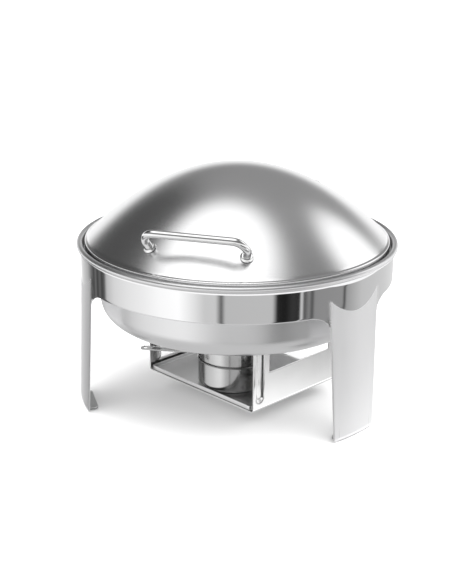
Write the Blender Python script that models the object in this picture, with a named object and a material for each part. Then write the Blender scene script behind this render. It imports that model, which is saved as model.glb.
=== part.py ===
"""Round chafing dish: a three-legged frame, a water pan with a burner bracket under it, a food pan,
a domed lid, a lid holder at the back and a fuel burner on a small tray.

Metres, +Z up. The origin is on the floor, on the frame's own axis. An azimuth is measured from
the front (-Y) towards +X, so the lid's handle is at azimuth 0 and the rear leg at 180.
Each group that moves hangs on its own empty, which stands on the axis of that group's joint.
"""

from math import asin, cos, degrees, pi, radians, sin, sqrt

import bmesh
import bpy
from mathutils import Vector

for old in list(bpy.data.objects):
    bpy.data.objects.remove(old)

# Driving dimensions ---------------------------------------------------------------------------

gap = 0.0003

# Fuel can and burner, the standard parts that the rest is built round.
can_radius = 0.0370
can_height = 0.044
can_sheet = 0.0006
can_clearance = 0.0052
gel_clearance = 0.0020
gel_height = 0.032
burner_sheet = 0.0008
cup_height = 0.035
cover_height = 0.024
cover_overlap = 0.006
mouth_radius = 0.022
snuffer_overlap = 0.0030
snuffer_sheet = 0.0012
snuffer_ear = 0.0060
snuffer_azimuth = radians(150)
snuffer_open = radians(95)
pivot_inset = 0.0090
pin_radius = 0.0020
knob_radius = 0.0040
knob_stem = 0.0025
knob_height = 0.0060
burner_handle_azimuth = radians(-82.5)
burner_handle_reach = 0.1156
burner_handle_width = 0.012
burner_handle_sheet = 0.0015
burner_handle_hole = 0.0030
burner_handle_rise = 0.0018
lug_thickness = 0.0006
lug_height = 0.0065

# Tray and the bracket that carries it under the water pan.
tray_sheet = 0.0010
tray_lip = 0.006
burner_margin = 0.0022
burner_across = 0.0116
bracket_turn = radians(60)
bracket_centre = (0.0117, 0.0002)
bracket_half_width = 0.0915
bracket_half_depth = 0.0795
bracket_clearance = 0.019
bracket_sheet = 0.0012
bracket_flange = 0.016
bracket_corner = 0.003
window_half = 0.053
window_height = 0.027
window_drop = 0.0112
stud_radius = 0.0024
stud_length = 0.0075
stud_from_end = 0.018
stud_from_wall = 0.011
flame_gap = 0.0217

# Rim, band and legs.
rim_radius = 0.195
bead_radius = 0.0045
frame_sheet = 0.0012
band_height = 0.0345
leg_azimuths = [radians(a) for a in (-60, 60, 180)]
leg_top_width = 0.0825
leg_foot_width = 0.0672
arch_radius = 0.018
splay = 0.0055
leg_lift = 0.001
support_width = 0.016
support_depth = 0.012
support_sheet = 0.0012
foot_width = 0.054
foot_tongue = 0.012
foot_corner = 0.006
foot_upright = 0.020
foot_sheet = 0.002
pad_height = 0.002

# Pans.
pan_sheet = 0.0010
ledge_width = 0.0185
water_pan_depth = 0.088
water_pan_corner = 0.024
ledge_bend = 0.004
between_pans = 0.0065
food_pan_depth = 0.063
food_pan_corner = 0.015
food_pan_draft = 0.004
flange_bend = 0.003
flange_clearance = 0.0007

# Lid and its handle.
lid_sheet = 0.0010
lid_clearance = 0.0014
lid_edge_height = 0.0075
lid_shoulder = 0.0031
lid_edge_bend = 0.0012
dome_height = 0.0863
dome_base_rise = 0.0012
handle_rod = 0.0045
handle_stud = 0.0024
handle_stud_length = 0.0095
handle_turn = radians(-2)
handle_inset = 0.0225
handle_foot_half = 0.056
handle_reach = 0.030
handle_knee = 0.013
handle_bar_half = 0.044
ferrule_radius = 0.0075
ferrule_chamfer = 0.0015
ferrule_height = 0.0030
bore_clearance = 0.0004
nut_across = 0.0080
nut_height = 0.0040

# Lid holder behind the rim.
holder_wire = 0.0020
holder_clearance = 0.0012
holder_half = 0.070
holder_rise = 0.027
holder_bend = 0.012
socket_width = 0.012
socket_wall = 0.0025
socket_height = 0.018
socket_drop = 0.012

# Sizes that follow from those, from the floor up and from the rim inwards --------------------

burner_radius = can_radius + can_clearance + burner_sheet
tray_bottom = bracket_clearance + bracket_sheet + gap
cup_bottom = tray_bottom + tray_sheet + gap
seam_level = cup_bottom + cup_height
cover_top = seam_level + cover_height
pan_underside = cover_top + flame_gap
water_pan_floor = pan_underside + pan_sheet / 2
ledge_level = water_pan_floor + water_pan_depth
rim_height = ledge_level - pan_sheet / 2 + bead_radius
band_top = rim_height - bead_radius - gap
band_bottom = band_top - band_height
food_flange_level = ledge_level + pan_sheet + gap
food_pan_floor = food_flange_level - food_pan_depth
lid_edge_low = food_flange_level + pan_sheet / 2 + gap
lid_edge_top = lid_edge_low + lid_edge_height
dome_base = lid_edge_top + dome_base_rise

frame_radius = rim_radius - bead_radius
bead_inside = rim_radius - 2 * bead_radius
leg_top_half = leg_top_width / 2 / frame_radius
leg_foot_half = leg_foot_width / 2 / frame_radius
arch_half = leg_top_half + arch_radius / frame_radius
water_pan_radius = bead_inside - ledge_width
food_pan_radius = water_pan_radius - between_pans
food_flange_radius = bead_inside - flange_clearance
lid_edge_radius = bead_inside - lid_clearance
dome_radius = lid_edge_radius - lid_shoulder
handle_foot_radius = dome_radius - handle_inset
holder_radius = rim_radius + holder_clearance + holder_wire
snuffer_radius = mouth_radius + snuffer_overlap
pivot_radius = burner_radius - pivot_inset

# Columns of a round piece: on each leg, between two legs, and on the small turned pieces.
leg_panes = 6
panes_between = 14
burner_sides = 24
small_sides = 12


# Shapes ---------------------------------------------------------------------------------------


def polar(radius, azimuth, height=0.0):
    """The point at this azimuth from the front, round a vertical axis through the origin."""
    return Vector((radius * sin(azimuth), -radius * cos(azimuth), height))


def even_azimuths(count):
    return [2 * pi * step / count for step in range(count)]


def ring_azimuths():
    """Azimuths of the big round pieces' columns, set so that each leg's edges fall on one."""
    found = []
    between = radians(120) - 2 * arch_half
    for leg in leg_azimuths:
        found += [leg + arch_half * (2 * step / leg_panes - 1) for step in range(leg_panes)]
        found += [leg + arch_half + between * step / panes_between for step in range(panes_between)]
    return found


def arc(centre, radius, start, end, steps):
    """Points (radius, height) on an arc in a turned profile, from one angle to another in degrees."""
    angles = [radians(start + (end - start) * step / steps) for step in range(steps + 1)]
    return [(centre[0] + radius * cos(angle), centre[1] + radius * sin(angle)) for angle in angles]


def offset_line(line, distance):
    """The line moved sideways by the distance, to its left, with mitred corners."""
    moved = []
    for index, point in enumerate(line):
        directions = []
        if index > 0:
            directions.append(Vector(point) - Vector(line[index - 1]))
        if index < len(line) - 1:
            directions.append(Vector(line[index + 1]) - Vector(point))
        normals = [Vector((-d.y, d.x)).normalized() for d in directions]
        middle = sum(normals, Vector((0, 0))).normalized()
        length = distance / middle.dot(normals[0])
        moved.append((point[0] + middle.x * length, point[1] + middle.y * length))
    return moved


def sheet_outline(line, thickness):
    """The closed outline of a sheet whose middle follows the line."""
    return offset_line(line, thickness / 2) + offset_line(line, -thickness / 2)[::-1]


def material(name, colour, roughness, metallic):
    made = bpy.data.materials.new(name)
    made.use_nodes = True
    shader = made.node_tree.nodes["Principled BSDF"]
    shader.inputs["Base Color"].default_value = (*colour, 1)
    shader.inputs["Roughness"].default_value = roughness
    shader.inputs["Metallic"].default_value = metallic
    return made


polished = material("polished_steel", (0.80, 0.80, 0.81), 0.08, 1)
satin = material("satin_steel", (0.72, 0.72, 0.72), 0.32, 1)
rubber = material("rubber", (0.04, 0.04, 0.04), 0.75, 0)
tin = material("tinplate", (0.66, 0.66, 0.64), 0.28, 1)
gel = material("fuel_gel", (0.55, 0.60, 0.78), 0.20, 0)
black_plastic = material("black_plastic", (0.03, 0.03, 0.03), 0.45, 0)


def carrier(name, location=(0, 0, 0), parent=None):
    """An empty that a group of pieces hangs on."""
    made = bpy.data.objects.new(name, None)
    made.location = location
    made.parent = parent
    bpy.context.scene.collection.objects.link(made)
    return made


def finish(shape, name, coat):
    """Turns the bmesh into an object with its faces pointing out and its edges sharp past 30 degrees."""
    bmesh.ops.recalc_face_normals(shape, faces=shape.faces)
    mesh = bpy.data.meshes.new(name)
    shape.to_mesh(mesh)
    shape.free()
    mesh.shade_smooth()
    mesh.set_sharp_from_angle(angle=radians(30))
    mesh.materials.append(coat)
    made = bpy.data.objects.new(name, mesh)
    bpy.context.scene.collection.objects.link(made)
    return made


def place(made, parent, location=(0, 0, 0), turn=0.0, up=None):
    """Hangs a piece on its carrier at this place, turned about the vertical or stood along a direction."""
    made.parent = parent
    made.location = location
    made.rotation_euler = (0, 0, turn)
    if up:
        made.rotation_euler = Vector((0, 0, 1)).rotation_difference(up).to_euler()
    return made


def turned(name, outline, azimuths, coat):
    """Spins an outline round the vertical: a closed ring, or a body whose ends are on the axis."""
    shape = bmesh.new()
    rings = []
    for radius, height in outline:
        if radius < gap:
            rings.append([shape.verts.new((0, 0, height))])
        else:
            rings.append([shape.verts.new(polar(radius, azimuth, height)) for azimuth in azimuths])
    count = len(azimuths)
    touches_axis = len(rings[0]) == 1
    for index in range(len(rings) - 1 if touches_axis else len(rings)):
        first = rings[index]
        second = rings[(index + 1) % len(rings)]
        for column in range(count):
            after = (column + 1) % count
            corners = [first[column % len(first)], first[after % len(first)]]
            corners += [second[after % len(second)], second[column % len(second)]]
            corners = list(dict.fromkeys(corners))
            if len(corners) > 2:
                shape.faces.new(corners)
    return finish(shape, name, coat)


def rod(name, radius, low, high, coat):
    """A short round bar or pin on the vertical."""
    outline = [(0, low), (radius, low), (radius, high), (0, high)]
    return turned(name, outline, even_azimuths(small_sides), coat)


def swept(name, path, radii, sides, coat):
    """A round bar along the path, with one radius for each point and flat ends."""
    shape = bmesh.new()
    rings = []
    side = (path[1] - path[0]).orthogonal().normalized()
    for index, point in enumerate(path):
        before = path[max(index - 1, 0)]
        after = path[min(index + 1, len(path) - 1)]
        along = (after - before).normalized()
        side = (side - along * side.dot(along)).normalized()
        up = along.cross(side)
        turns = [(cos(angle), sin(angle)) for angle in even_azimuths(sides)]
        rings.append([shape.verts.new(point + (side * c + up * s) * radii[index]) for c, s in turns])
    for first, second in zip(rings, rings[1:]):
        for step in range(sides):
            after = (step + 1) % sides
            shape.faces.new((first[step], first[after], second[after], second[step]))
    shape.faces.new(rings[0][::-1])
    shape.faces.new(rings[-1])
    return finish(shape, name, coat)


def prism(name, first, second, coat):
    """A body between two copies of one outline, each given as points in order."""
    shape = bmesh.new()
    ends = [[shape.verts.new(point) for point in points] for points in (first, second)]
    shape.faces.new(ends[0][::-1])
    shape.faces.new(ends[1])
    for index in range(len(first)):
        after = (index + 1) % len(first)
        shape.faces.new((ends[0][index], ends[0][after], ends[1][after], ends[1][index]))
    return finish(shape, name, coat)


def extruded(name, outline, low, high, coat):
    """A flat outline raised from one height to another."""
    return prism(name, [(x, y, low) for x, y in outline], [(x, y, high) for x, y in outline], coat)


def cut(target, cutter, *placing, **turning):
    """Takes the cutter out of the target and keeps the cutter as a hidden helper."""
    place(cutter, target.parent, *placing, **turning)
    cutter.hide_render = True
    cutter.display_type = "WIRE"
    modifier = target.modifiers.new(cutter.name, "BOOLEAN")
    modifier.operation = "DIFFERENCE"
    modifier.object = cutter


def hex_nut(name, bore):
    """A hexagon nut with its bore open, its base at the origin and its axis along +Z."""
    shape = bmesh.new()
    rings = []
    half = nut_across / 2
    for radius, height in ((bore, 0), (half, 0), (half, nut_height), (bore, nut_height)):
        ring = []
        for step, angle in enumerate(even_azimuths(small_sides)):
            reach = radius / cos(pi / 6) if radius == half and step % 2 == 0 else radius
            ring.append(shape.verts.new((reach * cos(angle), reach * sin(angle), height)))
        rings.append(ring)
    for first, second in zip(rings, rings[1:] + rings[:1]):
        for step in range(small_sides):
            after = (step + 1) % small_sides
            shape.faces.new((first[step], first[after], second[after], second[step]))
    return finish(shape, name, satin)


# Carriers -------------------------------------------------------------------------------------


def bracket_point(across, along, height=0.0):
    """A point given across the bracket's width and along its depth, away from the front."""
    c = cos(bracket_turn)
    s = sin(bracket_turn)
    x = bracket_centre[0] + across * s + along * c
    y = bracket_centre[1] - across * c + along * s
    return Vector((x, y, height))


burner_along = -bracket_half_depth + tray_sheet + burner_margin + burner_radius
burner_centre = bracket_point(burner_across, burner_along)
frame_carrier = carrier("frame_carrier")
holder_carrier = carrier("holder_carrier", parent=frame_carrier)
water_pan_carrier = carrier("water_pan_carrier", parent=frame_carrier)
food_pan_carrier = carrier("food_pan_carrier", parent=water_pan_carrier)
lid_carrier = carrier("lid_carrier", parent=food_pan_carrier)
tray_carrier = carrier("tray_carrier", parent=water_pan_carrier)
burner_carrier = carrier("burner_carrier", burner_centre, tray_carrier)
snuffer_pivot = polar(pivot_radius, snuffer_azimuth, cover_top + gap)
snuffer_carrier = carrier("snuffer_carrier", snuffer_pivot, burner_carrier)


# Frame ----------------------------------------------------------------------------------------


def leg_half(height):
    """Half the angle that a leg covers at this height, with the arch that joins it to the band."""
    straight = leg_foot_half + (leg_top_half - leg_foot_half) * height / band_bottom
    below = band_bottom - height
    if below >= arch_radius:
        return straight
    flare = arch_radius - sqrt(arch_radius**2 - (arch_radius - below) ** 2)
    return straight + flare / frame_radius


def leg_radius(height):
    """Radius of a leg's outer face, which leans out from the band to the foot."""
    return frame_radius + splay * (band_bottom - height) / band_bottom


def leg_levels():
    """Heights of a leg's rows: four round the arch, then three down to the foot."""
    arch = [band_bottom - arch_radius * (1 - cos(angle)) for angle in map(radians, (22.5, 45, 67.5, 90))]
    return arch + [leg_lift + (arch[-1] - leg_lift) * share / 3 for share in (2, 1, 0)]


def make_frame():
    """One band of sheet whose three legs run down from it through round arches."""
    shape = bmesh.new()
    azimuths = ring_azimuths()
    top = [shape.verts.new(polar(frame_radius, a, band_top)) for a in azimuths]
    bottom = [shape.verts.new(polar(frame_radius, a, band_bottom)) for a in azimuths]
    for column in range(len(azimuths)):
        after = (column + 1) % len(azimuths)
        shape.faces.new((bottom[column], bottom[after], top[after], top[column]))
    for index, leg in enumerate(leg_azimuths):
        start = index * (leg_panes + panes_between)
        above = [bottom[(start + step) % len(azimuths)] for step in range(leg_panes + 1)]
        for height in leg_levels():
            half = leg_half(height)
            turns = [leg + half * (2 * step / leg_panes - 1) for step in range(leg_panes + 1)]
            row = [shape.verts.new(polar(leg_radius(height), turn, height)) for turn in turns]
            for step in range(leg_panes):
                shape.faces.new((row[step], row[step + 1], above[step + 1], above[step]))
            above = row
    made = place(finish(shape, "apron_frame", polished), frame_carrier)
    solid = made.modifiers.new("sheet", "SOLIDIFY")
    solid.thickness = frame_sheet
    solid.offset = -1
    solid.use_even_offset = True


def make_support_ring():
    """Angle ring welded inside the band, on which the water pan's ledge rests."""
    outer = frame_radius - frame_sheet - gap
    top = band_top - gap
    outline = [
        (outer - support_width, top - support_sheet),
        (outer - support_sheet, top - support_sheet),
        (outer - support_sheet, top - support_depth),
        (outer, top - support_depth),
        (outer, top),
        (outer - support_width, top),
    ]
    place(turned("support_ring", outline, ring_azimuths(), satin), frame_carrier)


def foot_tongue_outline():
    """The tongue starts square at the leg, at x = 0, and ends in two round corners."""
    side = foot_width / 2 - foot_corner
    end = foot_corner - foot_tongue
    outline = [(0, foot_width / 2)]
    outline += arc((end, side), foot_corner, 90, 180, 3)
    outline += arc((end, -side), foot_corner, 180, 270, 3)
    return outline + [(0, -foot_width / 2)]


def make_feet():
    """An L-shaped steel foot welded inside each leg, on a rubber pad."""
    inside = leg_radius(0) - frame_sheet
    face = sqrt(inside**2 - (foot_width / 2) ** 2) - 2 * gap
    lean = splay * foot_upright / band_bottom
    low = pad_height + gap
    profile = [
        (-foot_tongue, low),
        (0, low),
        (-lean, low + foot_upright),
        (-lean - foot_sheet, low + foot_upright),
        (-foot_sheet, low + foot_sheet),
        (-foot_tongue, low + foot_sheet),
    ]
    ends = [[(x, side * foot_width / 2, z) for x, z in profile] for side in (-1, 1)]
    for number, leg in enumerate(leg_azimuths, 1):
        where = polar(face, leg)
        foot = prism(f"foot_{number}", *ends, satin)
        place(foot, frame_carrier, where, leg - pi / 2)
        pad = extruded(f"foot_pad_{number}", foot_tongue_outline(), 0, pad_height, rubber)
        place(pad, frame_carrier, where, leg - pi / 2)


# Water pan and its burner bracket -------------------------------------------------------------


def make_water_pan():
    """Deep pan whose ledge carries the food pan and whose beaded rim covers the band's edge."""
    corner = water_pan_corner
    middle = [(0, water_pan_floor)]
    middle += arc((water_pan_radius - corner, water_pan_floor + corner), corner, -90, 0, 4)
    middle += [(water_pan_radius, ledge_level - ledge_bend)]
    middle += [(water_pan_radius + ledge_bend, ledge_level), (bead_inside, ledge_level)]
    outside = offset_line(middle, -pan_sheet / 2)
    inside = offset_line(middle, pan_sheet / 2)
    bead = arc((frame_radius, rim_height), bead_radius, -90, 180, 6)
    pan = turned("water_pan", outside[:-1] + bead + inside[::-1], ring_azimuths(), satin)
    place(pan, water_pan_carrier)


def stud_places():
    across = bracket_half_width - stud_from_wall
    along = bracket_half_depth - stud_from_end
    return [bracket_point(i * across, j * along) for i in (-1, 1) for j in (-1, 1)]


def make_bracket():
    """A strap bent to a U, with a window in each wall and flanges bolted to the pan's underside."""
    top = pan_underside - gap
    wall = bracket_half_width - bracket_sheet / 2
    roof = top - bracket_sheet / 2
    floor = bracket_clearance + bracket_sheet / 2
    line = [(bracket_flange - bracket_half_width, roof), (bracket_sheet - wall, roof)]
    line += [(-wall, roof - bracket_sheet), (-wall, floor + bracket_corner), (bracket_corner - wall, floor)]
    line += [(-across, height) for across, height in line[::-1]]
    outline = sheet_outline(line, bracket_sheet)
    ends = [[(x, along, z) for x, z in outline] for along in (-bracket_half_depth, bracket_half_depth)]
    turn = bracket_turn - pi / 2
    bracket = prism("burner_bracket", *ends, polished)
    place(bracket, water_pan_carrier, bracket_point(0, 0), turn)
    reach = 2 * bracket_half_width
    window = [(-reach, -window_half), (reach, -window_half), (reach, window_half), (-reach, window_half)]
    high = top - window_drop
    cutter = extruded("window_cutter", window, high - window_height, high, polished)
    cut(bracket, cutter, bracket_point(0, 0), turn)
    bore = stud_radius + bore_clearance
    for number, where in enumerate(stud_places(), 1):
        drill = rod(f"stud_hole_cutter_{number}", bore, top - stud_length, top + stud_length, polished)
        cut(bracket, drill, where)


def make_bracket_studs():
    """Studs welded under the water pan, and the nuts that hold the bracket's flanges on them."""
    top = pan_underside - gap
    base = Vector((0, 0, top - bracket_sheet - gap - nut_height))
    for number, where in enumerate(stud_places(), 1):
        stud = rod(f"bracket_stud_{number}", stud_radius, top - stud_length, top, satin)
        place(stud, water_pan_carrier, where)
        nut = hex_nut(f"bracket_nut_{number}", stud_radius + bore_clearance)
        place(nut, water_pan_carrier, where + base)


# Food pan and lid -----------------------------------------------------------------------------


def make_food_pan():
    """Shallow pan that hangs inside the water pan by its flat flange."""
    corner = food_pan_corner
    base = food_pan_radius - food_pan_draft
    middle = [(0, food_pan_floor)]
    middle += arc((base - corner, food_pan_floor + corner), corner, -90, 0, 3)
    middle += [(food_pan_radius, food_flange_level - flange_bend)]
    middle += [(food_pan_radius + flange_bend, food_flange_level), (food_flange_radius, food_flange_level)]
    pan = turned("food_pan", sheet_outline(middle, pan_sheet), ring_azimuths(), satin)
    place(pan, food_pan_carrier)


def dome_level(radius):
    """Height of the middle of the lid's sheet: the dome is a shallow parabola."""
    return dome_base + dome_height * (1 - (radius / dome_radius) ** 2)


def out_of_dome(azimuth):
    """The direction straight out of the dome where the handle's feet stand."""
    slope = 2 * dome_height * handle_foot_radius / dome_radius**2
    return (polar(slope, azimuth) + Vector((0, 0, 1))).normalized()


def foot_azimuths():
    half = asin(handle_foot_half / handle_foot_radius)
    return [handle_turn - half, handle_turn + half]


def handle_feet():
    """Where the handle's two feet stand on the dome, and the direction straight out of it there."""
    level = dome_level(handle_foot_radius)
    return [(polar(handle_foot_radius, a, level), out_of_dome(a)) for a in foot_azimuths()]


def make_lid():
    """Spun dome with a crease at its base and an upright edge that sits on the food pan's flange."""
    middle = [(0, dome_level(0))]
    radii = [dome_radius * step / 8 for step in range(1, 9)]
    middle += [(radius, dome_level(radius)) for radius in radii]
    middle += [(lid_edge_radius - lid_edge_bend, lid_edge_top)]
    middle += [(lid_edge_radius, lid_edge_top - lid_edge_bend), (lid_edge_radius, lid_edge_low)]
    lid = turned("lid_dome", sheet_outline(middle, lid_sheet), ring_azimuths(), satin)
    place(lid, lid_carrier)
    bore = handle_stud + bore_clearance
    for number, (foot, normal) in enumerate(handle_feet(), 1):
        drill = rod(f"foot_hole_cutter_{number}", bore, -handle_stud_length, handle_stud_length, satin)
        cut(lid, drill, foot, up=normal)


def make_lid_handle():
    """A bent round bar. Each end is turned down to a stud, through a ferrule, held by a nut inside."""
    middle = polar(1, handle_turn)
    along = polar(1, handle_turn + pi / 2)
    lean = out_of_dome(handle_turn)
    depth = sqrt(handle_foot_radius**2 - handle_foot_half**2)
    bar = middle * depth + lean * handle_reach + Vector((0, 0, dome_level(handle_foot_radius)))
    path = []
    for side, (foot, normal) in zip((-1, 1), handle_feet()):
        shoulder = foot + normal * (lid_sheet / 2 + ferrule_height + 3 * gap)
        tip = foot - normal * (handle_stud_length - ferrule_height)
        knee = foot + normal * handle_knee
        end = bar + along * side * handle_bar_half
        bend = bar + along * side * handle_foot_half
        half = [(tip, handle_stud), (shoulder, handle_stud), (shoulder + normal * gap / 3, handle_rod)]
        for step in range(7):
            t = step / 6
            point = knee * (1 - t) ** 2 + bend * 2 * t * (1 - t) + end * t**2
            half.append((point, handle_rod))
        path += half if side < 0 else half[::-1]
    handle = swept("lid_handle", [p for p, r in path], [r for p, r in path], 10, polished)
    place(handle, lid_carrier)


def make_handle_fixings():
    """A ferrule between each foot and the dome, and a nut on each stud inside the lid."""
    bore = handle_stud + bore_clearance
    outline = [(bore, 0), (ferrule_radius, 0)]
    outline += [(ferrule_radius - ferrule_chamfer, ferrule_height), (bore, ferrule_height)]
    for number, (foot, normal) in enumerate(handle_feet(), 1):
        ferrule = turned(f"handle_ferrule_{number}", outline, even_azimuths(16), polished)
        place(ferrule, lid_carrier, foot + normal * (lid_sheet / 2 + 2 * gap), up=normal)
        nut = hex_nut(f"handle_nut_{number}", bore)
        place(nut, lid_carrier, foot - normal * (lid_sheet / 2 + 3 * gap), up=-normal)


# Lid holder -----------------------------------------------------------------------------------


def make_lid_holder():
    """A wire loop that follows the rim behind the lid; its two ends drop into welded sockets."""
    half = holder_radius * asin(holder_half / holder_radius)
    socket_top = band_top - socket_drop
    low = socket_top - socket_height
    high = rim_height + bead_radius + holder_rise
    corner = arc((holder_bend - half, high - holder_bend), holder_bend, 180, 90, 4)
    line = [(-half, low + gap)] + corner
    line += [(-half * step / 4, high) for step in (3, 2, 1)]
    line += [(0, high)] + [(-along, height) for along, height in line[::-1]]
    path = [polar(holder_radius, pi + along / holder_radius, height) for along, height in line]
    wire = swept("lid_holder", path, [holder_wire] * len(path), 10, polished)
    place(wire, holder_carrier)
    bore = holder_wire + bore_clearance
    outer = bore + socket_wall
    inner = frame_radius + gap - holder_radius
    side = socket_width / 2
    outline = [(inner, -side), (outer, -side), (outer, side), (inner, side)]
    for number, along in enumerate((-half, half), 1):
        azimuth = pi + along / holder_radius
        where = polar(holder_radius, azimuth)
        block = extruded(f"holder_socket_{number}", outline, low - socket_wall, socket_top, polished)
        place(block, frame_carrier, where, azimuth - pi / 2)
        drill = rod(f"socket_cutter_{number}", bore, low, socket_top + socket_wall, polished)
        cut(block, drill, where)


# Tray and burner ------------------------------------------------------------------------------


def make_tray():
    """Shallow tray that slides on the bracket's floor, turned up at the front and at both sides."""
    half = bracket_half_width - bracket_sheet - bracket_corner - gap
    front = -bracket_half_depth
    back = bracket_half_depth - tray_sheet
    floor = tray_bottom + tray_sheet
    top = tray_bottom + tray_lip
    outside = [(-half, front), (half, front), (half, back), (-half, back)]
    inside = [(tray_sheet - half, front + tray_sheet), (half - tray_sheet, front + tray_sheet)]
    inside += [(half - tray_sheet, back), (tray_sheet - half, back)]
    shape = bmesh.new()
    corners = [shape.verts.new((x, y, tray_bottom)) for x, y in outside]
    raised = [shape.verts.new((x, y, top)) for x, y in outside]
    inner_top = [shape.verts.new((x, y, top)) for x, y in inside]
    inner_floor = [shape.verts.new((x, y, floor)) for x, y in inside]
    shape.faces.new(corners[::-1])
    shape.faces.new(inner_floor)
    for a, b in ((0, 1), (1, 2), (3, 0)):
        shape.faces.new((corners[a], corners[b], raised[b], raised[a]))
        shape.faces.new((raised[a], raised[b], inner_top[b], inner_top[a]))
        shape.faces.new((inner_top[a], inner_top[b], inner_floor[b], inner_floor[a]))
    rear = [corners[2], corners[3], raised[3], inner_top[3], inner_floor[3]]
    rear += [inner_floor[2], inner_top[2], raised[2]]
    shape.faces.new(rear)
    tray = finish(shape, "burner_tray", satin)
    place(tray, tray_carrier, bracket_point(0, 0), bracket_turn - pi / 2)


def make_burner():
    """A drawn cup with a cover pressed into it."""
    around = even_azimuths(burner_sides)
    half = burner_sheet / 2
    wall = burner_radius - half
    low = cup_bottom + half
    step = 2 * burner_sheet
    cup = [(0, low), (wall - 3 * step, low), (wall - 2 * step, low + step), (wall, low + 3 * step)]
    cup += [(wall, seam_level - step), (wall + burner_sheet, seam_level - burner_sheet)]
    place(turned("burner_cup", sheet_outline(cup, burner_sheet), around, polished), burner_carrier)
    skirt = wall - burner_sheet - 2 * gap
    roof = cover_top - half
    cover = [(skirt, seam_level - cover_overlap), (skirt, seam_level + burner_sheet)]
    cover += [(wall, seam_level + step), (wall, roof - step), (wall - step, roof)]
    cover += [(mouth_radius + burner_sheet, roof), (mouth_radius, roof - step)]
    place(turned("burner_cover", sheet_outline(cover, burner_sheet), around, polished), burner_carrier)


def make_fuel():
    """A standard tin of gel fuel, open at the top, standing in the cup."""
    around = even_azimuths(burner_sides)
    base = cup_bottom + burner_sheet + gap
    low = base + can_sheet / 2
    wall = can_radius - can_sheet / 2
    top = base + can_height
    roll = 2 * can_sheet
    can = [(0, low), (wall - roll, low), (wall, low + roll), (wall, top - 2 * roll)]
    can += [(wall - roll, top - roll), (mouth_radius + roll, top - roll), (mouth_radius, top)]
    place(turned("fuel_can", sheet_outline(can, can_sheet), around, tin), burner_carrier)
    fill = can_radius - can_sheet - gel_clearance
    bottom = base + can_sheet + gap
    body = [(0, bottom), (fill, bottom), (fill, bottom + gel_height), (0, bottom + gel_height)]
    place(turned("fuel_gel", body, around, gel), burner_carrier)


def make_burner_handle():
    """Flat strip on the cover just above the seam, with a hanging hole, welded on by its lug."""
    half = burner_handle_width / 2
    start = burner_radius + lug_thickness + 2 * gap
    centre = burner_handle_reach - half
    outline = [(start, -half)] + arc((centre, 0), half, -90, 90, 6) + [(start, half)]
    low = seam_level + burner_handle_rise
    turn = burner_handle_azimuth - pi / 2
    strip = extruded("burner_handle", outline, low, low + burner_handle_sheet, polished)
    place(strip, burner_carrier, turn=turn)
    hole = rod("handle_hole_cutter", burner_handle_hole, low - half, low + half, polished)
    cut(strip, hole, polar(centre, burner_handle_azimuth))
    weld = burner_radius + gap
    plate = [(weld, -half), (weld + lug_thickness, -half), (weld + lug_thickness, half), (weld, half)]
    lug = extruded("handle_lug", plate, low, low + lug_height, polished)
    place(lug, burner_carrier, turn=turn)


def make_snuffer():
    """A disc that swings over the burner's mouth on a pin in the cover, with a knob to push it by."""
    tangent = 90 - degrees(asin((snuffer_radius - snuffer_ear) / pivot_radius))
    outline = arc((-pivot_radius, 0), snuffer_radius, tangent, 360 - tangent, 16)
    outline += arc((0, 0), snuffer_ear, -tangent, tangent, 4)
    turn = snuffer_azimuth - pi / 2 + snuffer_open
    plate = extruded("snuffer_plate", outline, 0, snuffer_sheet, polished)
    place(plate, snuffer_carrier, turn=turn)
    bore = pin_radius + bore_clearance
    cut(plate, rod("pivot_hole_cutter", bore, -snuffer_ear, snuffer_ear, polished))
    knob = [(0, 0), (knob_stem, 0), (knob_stem, knob_height / 3), (knob_radius, knob_height / 2)]
    knob += [(knob_radius, knob_height - knob_radius / 5), (0, knob_height)]
    button = turned("snuffer_knob", knob, even_azimuths(small_sides), black_plastic)
    reach = pivot_radius + snuffer_radius - 2 * knob_radius
    where = polar(-reach, turn + pi / 2, snuffer_sheet + gap)
    place(button, snuffer_carrier, where)
    head = snuffer_sheet + gap
    pin = [(0, 0), (pin_radius, 0), (pin_radius, head), (2 * pin_radius, head)]
    pin += [(1.6 * pin_radius, head + pin_radius / 2), (0, head + 0.7 * pin_radius)]
    rivet = turned("snuffer_pin", pin, even_azimuths(small_sides), polished)
    place(rivet, burner_carrier, snuffer_pivot)


make_frame()
make_support_ring()
make_feet()
make_water_pan()
make_bracket()
make_bracket_studs()
make_food_pan()
make_lid()
make_lid_handle()
make_handle_fixings()
make_lid_holder()
make_tray()
make_burner()
make_fuel()
make_burner_handle()
make_snuffer()
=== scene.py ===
from math import asin, atan2, cos, degrees, hypot, pi, radians, sin, sqrt, tan

import bmesh
import bpy
from mathutils import Matrix, Vector


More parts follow.
